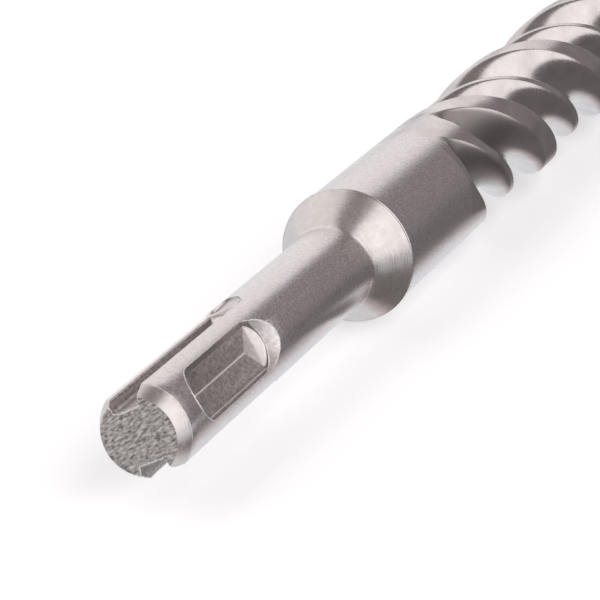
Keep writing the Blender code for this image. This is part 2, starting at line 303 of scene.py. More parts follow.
def new_node(tree, kind, inputs=(), **settings):
    """Add one shader node, with its settings and the values of its inputs by name or number."""
    node = tree.nodes.new(kind)
    for key, value in settings.items():
        setattr(node, key, value)
    for key, value in dict(inputs).items():
        node.inputs[key].default_value = value
    return node


def wire(tree, *links):
    """Join sockets, each link as (node, its output, next node, its input)."""
    for node, output, next_node, place in links:
        tree.links.new(node.outputs[output], next_node.inputs[place])


def new_material(name, inputs):
    """Add a material, with the values of its shader's inputs."""
    material = bpy.data.materials.new(name)
    material.use_nodes = True
    shader = material.node_tree.nodes["Principled BSDF"]
    for key, value in inputs.items():
        shader.inputs[key].default_value = value
    return material


# Surface of worked steel, shared by all its finishes: fine marks that the tool leaves round
# the bar, and the specks and clouds of a hardened and blasted skin.
MARK_SQUEEZE = 0.05
CLOUD_SPREAD = {"From Min": 0.32, "From Max": 0.68}
SPECK_SPREAD = {"From Min": 0.3, "From Max": 0.7}
worked_skin = bpy.data.node_groups.new("worked_skin", "ShaderNodeTree")
for rate in ("Marks Per Metre", "Specks Per Metre", "Clouds Per Metre"):
    worked_skin.interface.new_socket(rate, in_out="INPUT", socket_type="NodeSocketFloat")
for effect in ("Marks", "Specks", "Clouds"):
    worked_skin.interface.new_socket(effect, in_out="OUTPUT", socket_type="NodeSocketFloat")
skin_rates = new_node(worked_skin, "NodeGroupInput")
skin_effects = new_node(worked_skin, "NodeGroupOutput")
skin_place = new_node(worked_skin, "ShaderNodeTexCoord")
marks_stretch = new_node(
    worked_skin,
    "ShaderNodeVectorMath",
    {1: (1.0, MARK_SQUEEZE, MARK_SQUEEZE)},
    operation="MULTIPLY",
)
marks = new_node(worked_skin, "ShaderNodeTexNoise", {"Detail": 3.0, "Roughness": 0.6})
specks = new_node(worked_skin, "ShaderNodeTexNoise", {"Detail": 2.0, "Roughness": 0.6})
clouds = new_node(worked_skin, "ShaderNodeTexNoise", {"Detail": 3.0, "Roughness": 0.55})
wire(
    worked_skin,
    (skin_place, "Object", marks_stretch, 0),
    (marks_stretch, "Vector", marks, "Vector"),
    (skin_place, "Object", specks, "Vector"),
    (skin_place, "Object", clouds, "Vector"),
    (skin_rates, "Marks Per Metre", marks, "Scale"),
    (skin_rates, "Specks Per Metre", specks, "Scale"),
    (skin_rates, "Clouds Per Metre", clouds, "Scale"),
    (marks, "Fac", skin_effects, "Marks"),
    (specks, "Fac", skin_effects, "Specks"),
    (clouds, "Fac", skin_effects, "Clouds"),
)


def steel_finish(name, dark, light, gloss, rates, mark_height, speck_height):
    """One finish of the bar: two tones, a range of roughness, and the height of its relief."""
    material = new_material(name, {"Metallic": 1.0})
    tree = material.node_tree
    shader = tree.nodes["Principled BSDF"]
    skin = new_node(tree, "ShaderNodeGroup", node_tree=worked_skin)
    skin.inputs["Marks Per Metre"].default_value = rates[0]
    skin.inputs["Specks Per Metre"].default_value = rates[1]
    skin.inputs["Clouds Per Metre"].default_value = rates[2]
    tone = new_node(tree, "ShaderNodeMix", data_type="RGBA")
    tone.inputs["A"].default_value = (*dark, 1.0)
    tone.inputs["B"].default_value = (*light, 1.0)
    patches = new_node(tree, "ShaderNodeMapRange", CLOUD_SPREAD)
    dullness = new_node(tree, "ShaderNodeMapRange", SPECK_SPREAD)
    dullness.inputs["To Min"].default_value = gloss[0]
    dullness.inputs["To Max"].default_value = gloss[1]
    mark_bump = new_node(tree, "ShaderNodeBump", {"Distance": mark_height})
    speck_bump = new_node(tree, "ShaderNodeBump", {"Distance": speck_height})
    wire(
        tree,
        (skin, "Clouds", patches, "Value"),
        (patches, "Result", tone, "Factor"),
        (tone, "Result", shader, "Base Color"),
        (skin, "Specks", dullness, "Value"),
        (dullness, "Result", shader, "Roughness"),
        (skin, "Marks", mark_bump, "Height"),
        (skin, "Specks", speck_bump, "Height"),
        (mark_bump, "Normal", speck_bump, "Normal"),
        (speck_bump, "Normal", shader, "Normal"),
    )
    return material


turned_steel = steel_finish(
    "turned_steel",
    dark=(0.59, 0.55, 0.545),
    light=(0.68, 0.64, 0.635),
    gloss=(0.20, 0.35),
    rates=(5200, 4500, 1800),
    mark_height=0.004 * MM,
    speck_height=0.006 * MM,
)
faced_steel = steel_finish(
    "faced_steel",
    dark=(0.58, 0.54, 0.525),
    light=(0.66, 0.62, 0.60),
    gloss=(0.27, 0.38),
    rates=(6500, 3500, 900),
    mark_height=0.05 * MM,
    speck_height=0.004 * MM,
)
# Walls and floors inside the milled cuts: the same steel painted much darker, as painted shade inside the
# cuts. Its clouds and specks are the skin.
milled_steel_painted_shade = steel_finish(
    "milled_steel_painted_shade",
    dark=(0.27, 0.24, 0.235),
    light=(0.49, 0.45, 0.44),
    gloss=(0.32, 0.48),
    rates=(2500, 4200, 2600),
    mark_height=0.0,
    speck_height=0.016 * MM,
)
# A lighter copy of the same steel for the cut faces that face the lamps: the slot's shoulder and far end
# and the groove's ramp, as painted light.
painted_light_steel = steel_finish(
    "painted_light_steel",
    dark=(0.66, 0.62, 0.61),
    light=(0.80, 0.76, 0.75),
    gloss=(0.30, 0.42),
    rates=(2500, 3500, 1500),
    mark_height=0.0,
    speck_height=0.003 * MM,
)
# The brightest copy of the same steel, for the broken rims, the groove's creases, the ball seat and the
# rim of the end chamfer: painted highlight.
painted_highlight_steel = steel_finish(
    "painted_highlight_steel",
    dark=(0.66, 0.62, 0.61),
    light=(0.86, 0.82, 0.81),
    gloss=(0.42, 0.6),
    rates=(2500, 4500, 2500),
    mark_height=0.0,
    speck_height=0.012 * MM,
)
fluted_steel = steel_finish(
    "fluted_steel",
    dark=(0.50, 0.46, 0.455),
    light=(0.62, 0.58, 0.57),
    gloss=(0.20, 0.28),
    rates=(1500, 2500, 300),
    mark_height=0.0,
    speck_height=0.002 * MM,
)

# The start of each flute, where the milling cutter runs out of the bar, is duller, and its colour
# is darker as painted shade in the scoop.
RUN_OUT_PAINTED_SHADE_COLOUR = (0.26, 0.237, 0.233, 1.0)
RUN_OUT_ROUGHER = 0.28
fluted_tree = fluted_steel.node_tree
fluted_shader = fluted_tree.nodes["Principled BSDF"]
plain_tone = fluted_shader.inputs["Base Color"].links[0].from_socket
plain_gloss = fluted_shader.inputs["Roughness"].links[0].from_socket
run_out_shade_and_dull_attribute = new_node(fluted_tree, "ShaderNodeAttribute", attribute_name="run_out_shade_and_dull_share")
run_out_painted_shade = new_node(fluted_tree, "ShaderNodeMix", data_type="RGBA")
run_out_painted_shade.inputs["B"].default_value = RUN_OUT_PAINTED_SHADE_COLOUR
run_out_gloss = new_node(fluted_tree, "ShaderNodeMath", {1: RUN_OUT_ROUGHER}, operation="MULTIPLY_ADD")
fluted_tree.links.new(plain_tone, run_out_painted_shade.inputs["A"])
fluted_tree.links.new(plain_gloss, run_out_gloss.inputs[2])
wire(
    fluted_tree,
    (run_out_shade_and_dull_attribute, "Fac", run_out_painted_shade, "Factor"),
    (run_out_shade_and_dull_attribute, "Fac", run_out_gloss, 0),
    (run_out_painted_shade, "Result", fluted_shader, "Base Color"),
    (run_out_gloss, "Value", fluted_shader, "Roughness"),
)

# The sawn face has its own pattern: ridges that run one way, with their hollows painted dark
# as painted shade.
SAWN_HOLLOW_PAINTED_SHADE = (0.165, 0.142, 0.132, 1.0)
SAWN_CREST_COLOUR = (0.60, 0.545, 0.515, 1.0)
SAWN_RATES = (0.0, 1.0 / SAWN_RIDGE_LENGTH, 1.0 / SAWN_RIDGE_WIDTH)
sawn_steel = new_material("sawn_steel", {"Metallic": 1.0, "Roughness": 0.38})
sawn_tree = sawn_steel.node_tree
sawn_shader = sawn_tree.nodes["Principled BSDF"]
sawn_place = new_node(sawn_tree, "ShaderNodeTexCoord")
sawn_turn = new_node(
    sawn_tree, "ShaderNodeMapping", {"Rotation": (-SAWN_ANGLE, 0.0, 0.0)}, vector_type="POINT"
)
sawn_stretch = new_node(sawn_tree, "ShaderNodeVectorMath", {1: SAWN_RATES}, operation="MULTIPLY")
sawn_noise = new_node(
    sawn_tree, "ShaderNodeTexNoise", {"Scale": 1.0, "Detail": 4.0, "Roughness": 0.62}
)
sawn_shade_share = new_node(sawn_tree, "ShaderNodeMapRange", {"From Min": 0.36, "From Max": 0.62})
sawn_painted_shade = new_node(sawn_tree, "ShaderNodeMix", data_type="RGBA")
sawn_painted_shade.inputs["A"].default_value = SAWN_HOLLOW_PAINTED_SHADE
sawn_painted_shade.inputs["B"].default_value = SAWN_CREST_COLOUR
sawn_bump = new_node(sawn_tree, "ShaderNodeBump", {"Distance": SAWN_DEPTH})
wire(
    sawn_tree,
    (sawn_place, "Object", sawn_turn, "Vector"),
    (sawn_turn, "Vector", sawn_stretch, 0),
    (sawn_stretch, "Vector", sawn_noise, "Vector"),
    (sawn_noise, "Fac", sawn_shade_share, "Value"),
    (sawn_shade_share, "Result", sawn_painted_shade, "Factor"),
    (sawn_painted_shade, "Result", sawn_shader, "Base Color"),
    (sawn_noise, "Fac", sawn_bump, "Height"),
    (sawn_bump, "Normal", sawn_shader, "Normal"),
)

bar_finishes = (turned_steel, sawn_steel, fluted_steel, faced_steel, painted_highlight_steel)
bar_blank = spun(turned_outline(), BAR_COLUMNS)
saw_end_face(bar_blank)
for face in bar_blank.faces:
    middle = face.calc_center_median()
    on_end_face = math.hypot(middle.y, middle.z) < END_FACE_RADIUS
    finish = turned_steel
    if middle.x < END_CHAMFER_LENGTH:
        finish = sawn_steel if on_end_face else faced_steel
    # A narrow band at the rim of the end chamfer takes the brightest copy, as a painted highlight line.
    elif middle.x < END_CHAMFER_LENGTH + END_CHAMFER_RIM:
        finish = painted_highlight_steel
    elif SHANK_LENGTH < middle.x < COLLAR_START:
        finish = faced_steel
    elif middle.x > FLUTED_START:
        finish = fluted_steel
    face.material_index = bar_finishes.index(finish)
cut_flutes(bar_blank)
steel_bar = new_piece(bar_blank, "steel_bar", *bar_finishes)

# Driving slots and locking grooves
# Two pairs of cuts are milled into the shank.  The driving slots are open at the end face, have
# a narrow shoulder, and run out in a spoon-shaped pocket.  The locking grooves are closed at
# both ends, with a shallow V floor, a ramp, and a round seat for the chuck's locking ball.
CUTTER_ARC_STEPS = 24
SHARP_EDGE = math.radians(12)
PAINTED_LIGHT_FACING = 0.5

# The slot's section is a list of (across, height) corners.  The pocket's walls are lists of
# (height, start, end, half width), and its ramp is the line of its floor.
SLOT_ANGLE = 60.7
SLOT_STRAIGHT = (-1.5 * MM, 24.1 * MM)
SLOT_MOUTH = 0.28 * MM
SLOT_MOUTH_FALL = 1.5 * MM
SLOT_FLOOR = 2.98 * MM
# Faces within this range across the slot, its shoulder, take the lighter copy: painted light.
SLOT_SHOULDER_PAINTED_LIGHT = (-4.2 * MM, -1.9 * MM)
SLOT_SECTION = (
    (-0.75 * MM, SLOT_FLOOR),
    (1.6 * MM, 3.02 * MM),
    (2.1 * MM, 4.55 * MM),
    (3.0 * MM, 7.3 * MM),
    (-4.2 * MM, 7.3 * MM),
    (-4.2 * MM, 5.85 * MM),
    (-2.35 * MM, 4.54 * MM),
    (-1.85 * MM, 4.33 * MM),
    (-1.6 * MM, 4.18 * MM),
    (-1.5 * MM, 3.8 * MM),
    (-1.42 * MM, 3.3 * MM),
    (-1.15 * MM, 3.05 * MM),
)
SLOT_END_LEAN = 0.85
POCKET_SIDE = 0.22 * MM
POCKET_WALLS = (
    (3.4 * MM, 22.6 * MM, 27.5 * MM, 1.5 * MM),
    (5.0 * MM, 22.4 * MM, 27.9 * MM, 1.82 * MM),
    (6.2 * MM, 22.2 * MM, 28.2 * MM, 2.05 * MM),
)
POCKET_RAMP = {"start": 23.9 * MM, "low": 3.74 * MM, "end": 29.0 * MM, "slope": 0.26, "hollow": 0.0}

# The groove's section, walls and ramp are in the same terms.  The ball seat widens upwards in
# levels of (height, radius).
GROOVE_ANGLE = 146.3
GROOVE_STRAIGHT = (7.4 * MM, 26.0 * MM)
GROOVE_DISC_RADIUS = 7.0 * MM
GROOVE_DISC_TURN = math.radians(45)
# Faces within these ranges across the groove, its creases, take the brightest copy: painted highlight
# lines.
GROOVE_CREASES_PAINTED_HIGHLIGHT = ((-0.1 * MM, 0.1 * MM), (2.55 * MM, 2.7 * MM))
GROOVE_SECTION = (
    (-0.1 * MM, 3.02 * MM),
    (0.1 * MM, 3.02 * MM),
    (2.3 * MM, 3.26 * MM),
    (2.58 * MM, 3.4 * MM),
    (2.68 * MM, 3.53 * MM),
    (3.2 * MM, 3.83 * MM),
    (4.6 * MM, 4.7 * MM),
    (4.6 * MM, 7.0 * MM),
    (-4.5 * MM, 6.6 * MM),
    (-2.97 * MM, 4.08 * MM),
    (-2.3 * MM, 3.3 * MM),
)
GROOVE_WALLS = (
    (2.4 * MM, 5.0 * MM, 23.5 * MM, 2.65 * MM),
    (4.0 * MM, 4.75 * MM, 23.65 * MM, 2.8 * MM),
    (5.0 * MM, 4.6 * MM, 23.7 * MM, 3.0 * MM),
    (6.2 * MM, 4.5 * MM, 23.7 * MM, 3.3 * MM),
)
GROOVE_RAMP = {"start": 19.85 * MM, "low": 2.98 * MM, "end": 25.0 * MM, "slope": 0.1, "hollow": 22.0}
BALL_SEAT_ANGLE = 149.0
BALL_SEAT_MIDDLE = 21.3 * MM
BALL_SEAT_LEVELS = ((3.72 * MM, 2.6 * MM), (5.0 * MM, 3.45 * MM), (6.2 * MM, 4.25 * MM))

# The block over the floor of a pocket or a groove reaches past the shank, and its floor falls a
# little towards the end face.
RAMP_BLOCK_NEAR = -5.0 * MM
RAMP_BLOCK_FALL = 0.5 * MM
RAMP_BLOCK_TOP = 8.0 * MM
RAMP_BLOCK_HALF_WIDTH = 6.0 * MM

# Broken rims, and the lip of burr that is pushed up round the near end of each groove, as far
# to the side as an angle whose sine is LIP_SIDE.
RIM_BREAK = 0.1 * MM
LIP_HEIGHT = 0.09 * MM
LIP_START = 3.4 * MM
LIP_FADE_START = 7.0 * MM
LIP_END = 9.0 * MM
LIP_SIDE = 0.75


def swept_cut(section, straight, painted_light_ranges, disc_radius=0.0, disc_turn=0.0):
    """Sweep a section of (across, height) corners along the shank.

    A disc radius and turn lift its near end out as a milling disc does.  The floors and walls
    that lie within the painted-light ranges across the cut get the second material, a lighter
    copy of the steel that stands for painted light.
    """
    start, end = straight
    cutter = bmesh.new()
    near_face = cutter.faces.new([cutter.verts.new((start, height, across)) for across, height in section])
    grown = bmesh.ops.extrude_face_region(cutter, geom=[near_face], use_keep_orig=True)["geom"]
    far_corners = [item for item in grown if isinstance(item, bmesh.types.BMVert)]
    bmesh.ops.translate(cutter, verts=far_corners, vec=(end - start, 0.0, 0.0))
    if disc_radius:
        floor_height = min(height for across, height in section)
        bmesh.ops.spin(
            cutter,
            geom=[near_face],
            cent=(start, floor_height + disc_radius, 0.0),
            axis=(0.0, 0.0, 1.0),
            angle=-disc_turn,
            steps=CUTTER_ARC_STEPS,
        )
        cutter.faces.remove(near_face)
    for face in cutter.faces:
        across = face.calc_center_median().z
        face.material_index = int(any(low <= across <= high for low, high in painted_light_ranges))
    bmesh.ops.recalc_face_normals(cutter, faces=cutter.faces)
    return cutter


def round_ended_walls(levels):
    """Plug with upright walls and round ends, from (height, start, end, half width) levels."""
    plug = bmesh.new()
    for height, start, end, half_width in levels:
        for middle in (start + half_width, end - half_width):
            ring = bmesh.ops.create_circle(plug, segments=4 * CUTTER_ARC_STEPS, radius=half_width)["verts"]
            bmesh.ops.rotate(plug, verts=ring, matrix=Matrix.Rotation(math.pi / 2.0, 3, "X"))
            bmesh.ops.translate(plug, verts=ring, vec=(middle, height, 0.0))
    hull = bmesh.ops.convex_hull(plug, input=plug.verts)
    inside = hull["geom_interior"] + hull["geom_unused"]
    spare = {item for item in inside if isinstance(item, bmesh.types.BMVert)}
    bmesh.ops.delete(plug, geom=list(spare), context="VERTS")
    return plug


def run_out_ramp(start, low, end, slope, hollow):
    """Block over a cut's floor, which is nearly level up to start and then a ramp that lifts out."""
    line = [(RAMP_BLOCK_NEAR, low - RAMP_BLOCK_FALL), (start, low)]
    for step in range(1, CUTTER_ARC_STEPS + 1):
        along = (end - start) * step / CUTTER_ARC_STEPS
        rise = slope * along + hollow * along * along
        line.append((start + along, low + rise))
    line += [(end, RAMP_BLOCK_TOP), (RAMP_BLOCK_NEAR, RAMP_BLOCK_TOP)]
    ramp = bmesh.new()
    side = ramp.faces.new([ramp.verts.new((x, height, -RAMP_BLOCK_HALF_WIDTH)) for x, height in line])
    grown = bmesh.ops.extrude_face_region(ramp, geom=[side], use_keep_orig=True)["geom"]
    far_side = [item for item in grown if isinstance(item, bmesh.types.BMVert)]
    bmesh.ops.translate(ramp, verts=far_side, vec=(0.0, 0.0, 2.0 * RAMP_BLOCK_HALF_WIDTH))
    bmesh.ops.recalc_face_normals(ramp, faces=ramp.faces)
    # Past start, the ramp's floor takes the block's second material, for the groove the lighter copy:
    # painted light.
    for face in ramp.faces:
        face.material_index = int(face.calc_center_median().x > start and face.normal.y < -PAINTED_LIGHT_FACING)
    return ramp


def apply_boolean(piece, cutter, operation):
    """Cut a piece once, exactly, and throw the cutter away."""
    modifier = piece.modifiers.new(cutter.name, "BOOLEAN")
    modifier.operation = operation
    modifier.solver = "EXACT"
    modifier.material_mode = "TRANSFER"
    modifier.object = cutter
    depsgraph = bpy.context.evaluated_depsgraph_get()
    result = bpy.data.meshes.new_from_object(piece.evaluated_get(depsgraph))
    piece.modifiers.clear()
    piece.data = result
    bpy.data.objects.remove(cutter)


def driving_slot():
    """Cutter of a slot, with a flared mouth at the end face and a far end that leans outwards."""
    slot = swept_cut(SLOT_SECTION, SLOT_STRAIGHT, painted_light_ranges=(SLOT_SHOULDER_PAINTED_LIGHT,))
    for corner in slot.verts:
        if corner.co.x > SLOT_STRAIGHT[1] - MERGE_GAP:
            corner.co.x += (corner.co.y - SLOT_FLOOR) * SLOT_END_LEAN
    # The cutter's far end, the slot's far end wall, takes the lighter copy: painted light.
    for face in slot.faces:
        if face.normal.x > PAINTED_LIGHT_FACING:
            face.material_index = 1
    bmesh.ops.bisect_plane(
        slot,
        geom=slot.verts[:] + slot.edges[:] + slot.faces[:],
        plane_co=(SLOT_MOUTH, 0.0, 0.0),
        plane_no=(1.0, 0.0, 0.0),
    )
    outer = [corner for corner in slot.verts if corner.co.x < SLOT_MOUTH / 2.0]
    bmesh.ops.translate(slot, verts=outer, vec=(0.0, -SLOT_MOUTH_FALL, 0.0))
    return slot


def raise_lips(builder, crest_index):
    """Push the crest of the broken rims up round the near end of both grooves, as a burr."""
    groove_turn = math.radians(GROOVE_ANGLE)
    for corner in builder.verts:
        x, y, z = corner.co
        beside = abs(math.sin(math.atan2(z, y) - groove_turn))
        on_crest = all(face.material_index == crest_index for face in corner.link_faces)
        if on_crest and beside < LIP_SIDE and LIP_START < x < LIP_END:
            fade = 1.0 - eased((x - LIP_FADE_START) / (LIP_END - LIP_FADE_START))
            grow = 1.0 + LIP_HEIGHT / math.hypot(y, z) * fade
            corner.co = (x, y * grow, z * grow)


def break_rims(piece, width):
    """Take the sharp rims of the milled cuts off with a narrow chamfer, painted bright as a painted
    highlight.
    """
    builder = bmesh.new()
    builder.from_mesh(piece.data)
    rim_highlight_index = piece.data.materials.find("painted_highlight_steel")
    cut = {piece.data.materials.find(name) for name in ("milled_steel_painted_shade", "painted_light_steel", "painted_highlight_steel")}
    rims = []
    for edge in builder.edges:
        if any(END_CHAMFER_LENGTH < v.co.x < END_CHAMFER_LENGTH + END_CHAMFER_RIM for v in edge.verts):
            continue
        sides = [face.material_index in cut for face in edge.link_faces]
        if len(sides) == 2 and sides[0] != sides[1] and edge.calc_face_angle() > SHARP_EDGE:
            rims.append(edge)
    bmesh.ops.bevel(
        builder,
        geom=rims,
        offset=width,
        segments=2,
        affect="EDGES",
        profile=0.5,
        material=rim_highlight_index,
        clamp_overlap=False,
    )
    raise_lips(builder, rim_highlight_index)
    builder.to_mesh(piece.data)
    builder.free()


for half_turn in (0.0, 180.0):
    # The slot, then the pocket that it runs out in.
    # The slot's walls take the darker copy as painted shade, and its shoulder and far end take the lighter
    # one as painted light.
    slot = driving_slot()
    slot_turn = math.radians(SLOT_ANGLE + half_turn)
    bmesh.ops.rotate(slot, verts=slot.verts, matrix=Matrix.Rotation(slot_turn, 3, "X"))
    apply_boolean(steel_bar, new_piece(slot, "slot_cutter", milled_steel_painted_shade, painted_light_steel), "DIFFERENCE")

    pocket = new_piece(round_ended_walls(POCKET_WALLS), "slot_pocket", faced_steel)
    pocket.data.transform(Matrix.Translation((0.0, 0.0, POCKET_SIDE)))
    pocket_floor = new_piece(run_out_ramp(**POCKET_RAMP), "pocket_floor", faced_steel, faced_steel)
    apply_boolean(pocket, pocket_floor, "INTERSECT")
    pocket.data.transform(Matrix.Rotation(slot_turn, 4, "X"))
    apply_boolean(steel_bar, pocket, "DIFFERENCE")

    # The groove: its floor and crease, trimmed by its upright walls and by the ramp at its far end.
    # The groove's walls take the darker copy as painted shade, its creases the brightest as painted
    # highlight, and its ramp the lighter one as painted light.
    keel = swept_cut(GROOVE_SECTION, GROOVE_STRAIGHT, GROOVE_CREASES_PAINTED_HIGHLIGHT, GROOVE_DISC_RADIUS, GROOVE_DISC_TURN)
    groove = new_piece(round_ended_walls(GROOVE_WALLS), "groove_walls", milled_steel_painted_shade)
    apply_boolean(groove, new_piece(keel, "groove_keel", milled_steel_painted_shade, painted_highlight_steel), "INTERSECT")
    groove_floor = new_piece(run_out_ramp(**GROOVE_RAMP), "groove_floor", milled_steel_painted_shade, painted_light_steel)
    apply_boolean(groove, groove_floor, "INTERSECT")
    groove.data.transform(Matrix.Rotation(math.radians(GROOVE_ANGLE + half_turn), 4, "X"))
    apply_boolean(steel_bar, groove, "DIFFERENCE")

    # The ball seat, a little to one side of the groove's middle.  It takes the brightest copy, as a
    # painted highlight.
    seat_levels = []
    for height, radius in BALL_SEAT_LEVELS:
        seat_levels.append((height, BALL_SEAT_MIDDLE - radius, BALL_SEAT_MIDDLE + radius, radius))
    ball_seat = round_ended_walls(seat_levels)
    seat_turn = Matrix.Rotation(math.radians(BALL_SEAT_ANGLE + half_turn), 3, "X")
    bmesh.ops.rotate(ball_seat, verts=ball_seat.verts, matrix=seat_turn)
    apply_boolean(steel_bar, new_piece(ball_seat, "ball_seat_cutter", painted_highlight_steel), "DIFFERENCE")
break_rims(steel_bar, RIM_BREAK)

# Seat, braze and hard-metal plate at the head
# The head is slotted right across.  A sintered hard-metal plate with a ground, gabled top is
# set into the slot and held by a thin seam of brass braze.
TIP_TOP = 210.0 * MM
TIP_THICKNESS = 3.0 * MM
TIP_HALF_WIDTH = 8.35 * MM
TIP_SEAT_DEPTH = 12.0 * MM
TIP_BOTTOM = TIP_TOP - TIP_SEAT_DEPTH
TIP_RELIEF = TIP_THICKNESS * math.tan(math.radians(22))
TIP_EDGE = 0.06 * MM
TIP_ANGLE = 67.65
SEAT_REACH = 10.0 * MM
SEAT_OPEN_TOP = TIP_TOP + 1.0 * MM
BRAZE_GAP = 0.3 * MM
BRAZE_HALF_WIDTH = 7.6 * MM
BRAZE_DEPTH = 11.0 * MM
NEARLY_FLAT = 0.01
SMOOTH_BELOW = math.radians(20)


def block(low, high):
    """Plain block between two corners."""
    builder = bmesh.new()
    bmesh.ops.create_cube(builder, size=1.0)
    size = [b - a for a, b in zip(low, high)]
    middle = [(a + b) / 2.0 for a, b in zip(low, high)]
    bmesh.ops.scale(builder, verts=builder.verts, vec=size)
    bmesh.ops.translate(builder, verts=builder.verts, vec=middle)
    return builder


# The seat, the plate and the braze are made with their length along Z, and turned into place.
tip_turn = Matrix.Rotation(math.radians(TIP_ANGLE - 90.0), 3, "X")
seat_bottom = TIP_BOTTOM - BRAZE_GAP
seat_half = TIP_THICKNESS / 2.0 + BRAZE_GAP
seat = block((seat_bottom, -seat_half, -SEAT_REACH), (SEAT_OPEN_TOP, seat_half, SEAT_REACH))
bmesh.ops.rotate(seat, verts=seat.verts, matrix=tip_turn)
solid_bar = bmesh.new()
solid_bar.from_mesh(steel_bar.data)
for face in solid_bar.faces:
    face.material_index = 0
apply_boolean(steel_bar, new_piece(seat, "seat_cutter", fluted_steel), "DIFFERENCE")

plate = block(
    (TIP_BOTTOM, -TIP_THICKNESS / 2.0, -TIP_HALF_WIDTH),
    (TIP_TOP, TIP_THICKNESS / 2.0, TIP_HALF_WIDTH),
)
bmesh.ops.bisect_plane(
    plate,
    geom=plate.verts[:] + plate.edges[:] + plate.faces[:],
    plane_co=(0.0, 0.0, 0.0),
    plane_no=(0.0, 0.0, 1.0),
)
for corner in plate.verts:
    if corner.co.x > (TIP_BOTTOM + TIP_TOP) / 2.0:
        corner.co.x -= abs(corner.co.z) * HEAD_SLOPE
        if corner.co.y * corner.co.z < 0.0:
            corner.co.x -= TIP_RELIEF
bmesh.ops.connect_verts_nonplanar(plate, faces=plate.faces, angle_limit=NEARLY_FLAT)
bmesh.ops.bevel(
    plate,
    geom=[edge for edge in plate.edges if edge.calc_face_angle(0.0) > SHARP_EDGE],
    offset=TIP_EDGE,
    segments=2,
    affect="EDGES",
    profile=0.5,
    material=-1,
    clamp_overlap=True,
)
bmesh.ops.rotate(plate, verts=plate.verts, matrix=tip_turn)
bmesh.ops.recalc_face_normals(plate, faces=plate.faces)

hard_metal = new_material(
    "ground_hard_metal", {"Base Color": (0.30, 0.30, 0.31, 1.0), "Metallic": 1.0, "Roughness": 0.30}
)
hard_metal_tree = hard_metal.node_tree
hard_metal_shader = hard_metal_tree.nodes["Principled BSDF"]
grinding = new_node(hard_metal_tree, "ShaderNodeGroup", node_tree=worked_skin)
grinding.inputs["Marks Per Metre"].default_value = 3500.0
grinding_bump = new_node(hard_metal_tree, "ShaderNodeBump", {"Distance": 0.004 * MM})
wire(
    hard_metal_tree,
    (grinding, "Marks", grinding_bump, "Height"),
    (grinding_bump, "Normal", hard_metal_shader, "Normal"),
)
carbide_tip = new_piece(plate, "carbide_tip_plate", hard_metal)

# The braze fills the seat round the plate, and ends where the bar's own surface would be.
braze = block(
    (seat_bottom, -seat_half, -BRAZE_HALF_WIDTH),
    (seat_bottom + BRAZE_DEPTH, seat_half, BRAZE_HALF_WIDTH),
)
bmesh.ops.rotate(braze, verts=braze.verts, matrix=tip_turn)
brass = new_material(
    "brass_braze", {"Base Color": (0.62, 0.47, 0.24, 1.0), "Metallic": 1.0, "Roughness": 0.42}
)
braze_seam = new_piece(braze, "braze_seam", brass)
apply_boolean(braze_seam, new_piece(solid_bar, "solid_bar", brass), "INTERSECT")

for piece in (steel_bar, carbide_tip, braze_seam):
    piece.data.shade_smooth()
    piece.data.set_sharp_from_angle(angle=SMOOTH_BELOW)
    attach(piece, "root")
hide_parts("drill_body")
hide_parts("carbide_tip")

# Floor
# A pale matt sweep that the bit lies on.  It shows white to the camera and in the polished
# steel, and keeps the soft shadow under the bit.
FLOOR_HEIGHT = -8.15 * MM
FLOOR_HALF_SIZE = 3.0
FLOOR_GLOW = 0.335
floor_builder = bmesh.new()
bmesh.ops.create_grid(floor_builder, x_segments=1, y_segments=1, size=FLOOR_HALF_SIZE)
bmesh.ops.translate(floor_builder, verts=floor_builder.verts, vec=(0.0, 0.0, FLOOR_HEIGHT))
floor_white = new_material(
    "floor_white",
    {
        "Base Color": (0.90, 0.90, 0.91, 1.0),
        "Roughness": 1.0,
        "Specular IOR Level": 0.0,
        "Emission Color": (1.0, 1.0, 1.0, 1.0),
    },
)
floor_tree = floor_white.node_tree
floor_shader = floor_tree.nodes["Principled BSDF"]
floor_seen = new_node(floor_tree, "ShaderNodeLightPath")
floor_glow = new_node(floor_tree, "ShaderNodeMath", {1: FLOOR_GLOW}, operation="MULTIPLY")
floor_mirrored = new_node(
    floor_tree, "ShaderNodeEmission", {"Color": (0.93, 0.96, 1.0, 1.0), "Strength": 1.0}
)
floor_choice = new_node(floor_tree, "ShaderNodeMixShader")
wire(
    floor_tree,
    (floor_seen, "Is Camera Ray", floor_glow, 0),
    (floor_glow, "Value", floor_shader, "Emission Strength"),
    (floor_seen, "Is Glossy Ray", floor_choice, 0),
    (floor_shader, 0, floor_choice, 1),
    (floor_mirrored, 0, floor_choice, 2),
    (floor_choice, 0, floor_tree.nodes["Material Output"], "Surface"),
)
floor = new_piece(floor_builder, "floor", floor_white)

# Lights
# Two large softboxes stand on the left and the right of the bit and leave a dark gap right
# above it.  A pale room lights the bit from all round, and a glowing card beside it, seen only
# in the steel, is a painted reflection.


def softbox(name, inner, outer, length, power):
    """Rectangular lamp from the middle of its inner edge to the middle of its outer edge."""
    lamp = bpy.data.lights.new(name, "AREA")
    lamp.shape = "RECTANGLE"
    down = Vector(outer) - Vector(inner)
    level = Vector((down.y, -down.x, 0.0)).normalized()
    if level.x < 0.0:
        level = -level
    lamp.size = length
    lamp.size_y = down.length
    lamp.energy = power
    up = -down.normalized()
    facing = level.cross(up)
    middle = (Vector(inner) + Vector(outer)) / 2.0
    if facing.dot(middle) < 0.0:
        facing = -facing
        level = -level
    item = bpy.data.objects.new(name, lamp)
    turn = Matrix((level, up, facing)).transposed().to_4x4()
    item.matrix_world = Matrix.Translation(middle) @ turn
    bpy.context.scene.collection.objects.link(item)


